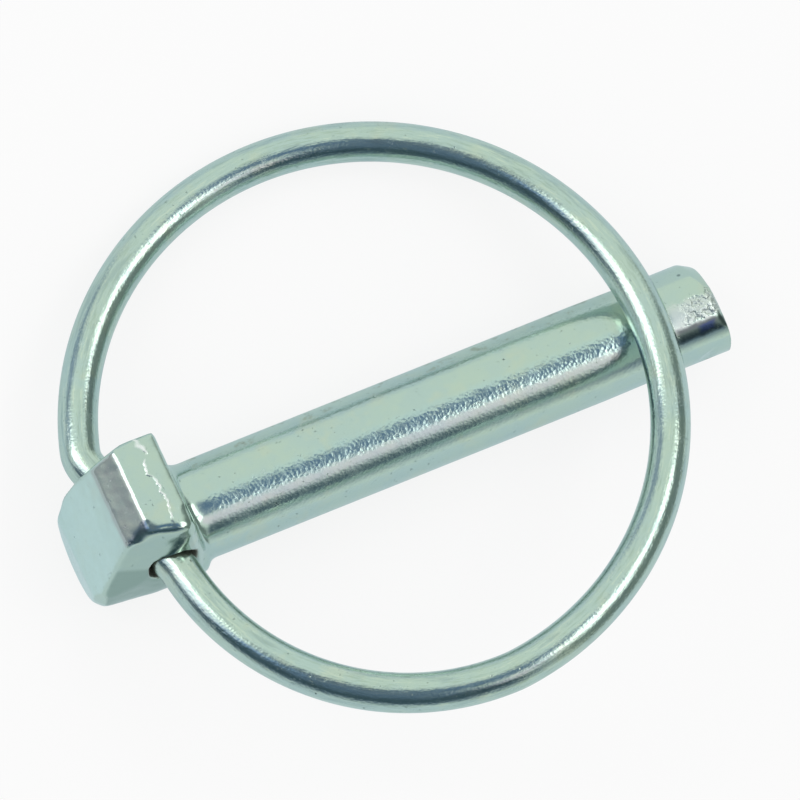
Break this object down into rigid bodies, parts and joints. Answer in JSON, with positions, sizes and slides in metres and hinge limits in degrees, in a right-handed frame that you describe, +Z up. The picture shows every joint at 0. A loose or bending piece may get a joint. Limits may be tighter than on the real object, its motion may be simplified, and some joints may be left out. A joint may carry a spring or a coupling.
{
  "type": "linch pin",
  "caption": "Linch pin: a forged pin with a cross-bored head and a sprung wire ring that swings over and lies on the far end of the shank.",
  "frame": {"origin": "middle of the footprint, on the surface the pin lies on", "axes": "+X along the shank from head to tip, +Z up, +Y to the side on which the rim of the ring touches the surface"},
  "size_m": [0.0556, 0.0475, 0.018],
  "materials": {
    "pin": "bright zinc plate with a blue-green cast over forged and drawn steel",
    "ring": "bright zinc plate with a blue-green cast over smooth spring wire"
  },
  "bodies": {
    "pin": {"pin": "pin"},
    "ring": {"ring": "ring"}
  },
  "joints": [
    {"name": "ring_swing", "type": "hinge", "parent": "pin", "child": "ring", "pos_m": [-0.02259, -0.00028, 0.00853], "axis": [0.2979, -0.9074, 0.2965], "range_deg": [0, 344]}
  ]
}
